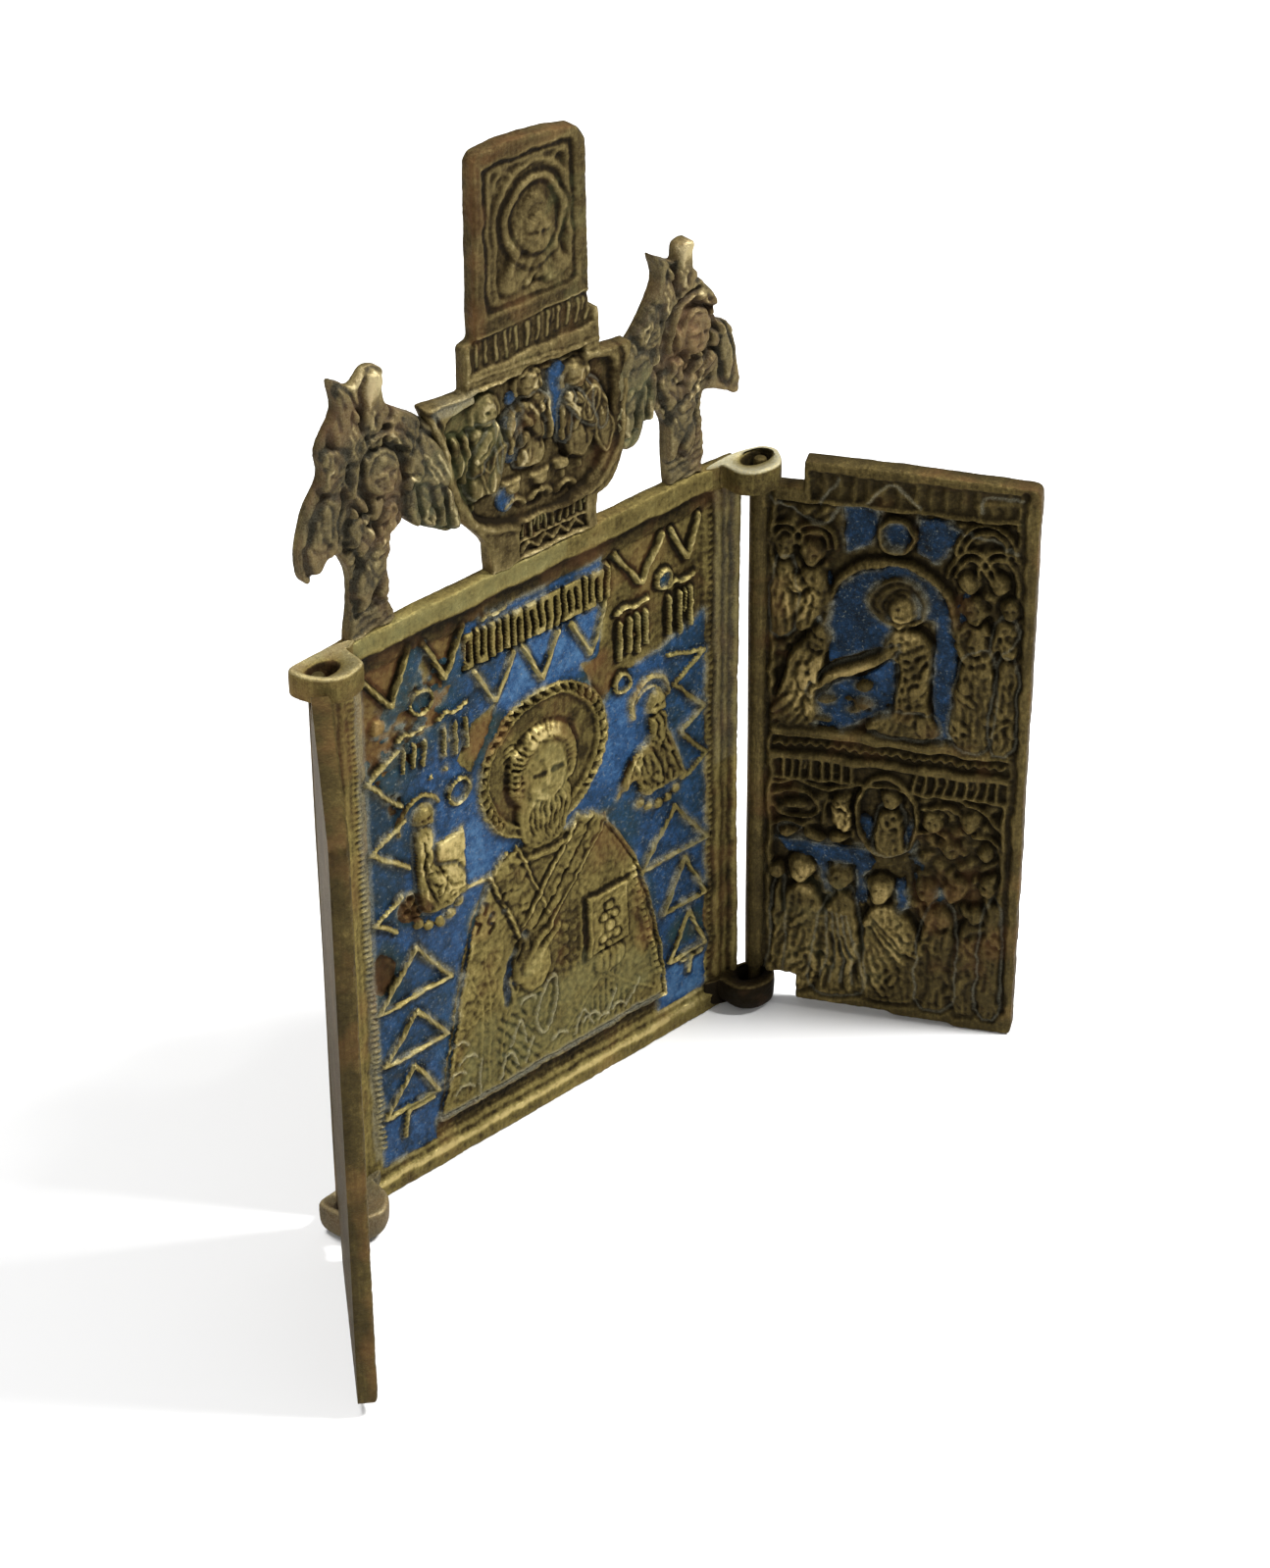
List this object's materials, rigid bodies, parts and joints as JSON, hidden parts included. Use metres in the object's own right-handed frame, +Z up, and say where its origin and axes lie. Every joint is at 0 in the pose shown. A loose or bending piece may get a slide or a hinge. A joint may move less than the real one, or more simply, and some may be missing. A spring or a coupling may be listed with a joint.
{
  "type": "triptych icon",
  "caption": "Small folding triptych icon in cast brass: a relief centre panel with a crest and two seraphim, and two relief wings on pin hinges.",
  "frame": {"origin": "middle of the centre panel's underside, halfway through its thickness", "axes": "+Z up through the crest, +X to the viewer's right, and the relief faces -Y"},
  "size_m": [0.1163, 0.0346, 0.1431],
  "materials": {
    "cast_brass": "aged cast brass, dark in the recesses, worn bright on the high places, with blue enamel in the fields"
  },
  "bodies": {
    "panel": {"center_panel": "cast_brass"},
    "left_leaf": {"left_wing": "cast_brass"},
    "right_leaf": {"right_wing": "cast_brass"}
  },
  "joints": [
    {"name": "left_hinge", "type": "hinge", "parent": "panel", "child": "left_leaf", "pos_m": [-0.0365, -0.0026, 0.043], "axis": [0, 0, 1], "range_deg": [-73, 125.8]},
    {"name": "right_hinge", "type": "hinge", "parent": "panel", "child": "right_leaf", "pos_m": [0.0365, -0.0026, 0.043], "axis": [0, 0, 1], "range_deg": [-123, 76]}
  ]
}
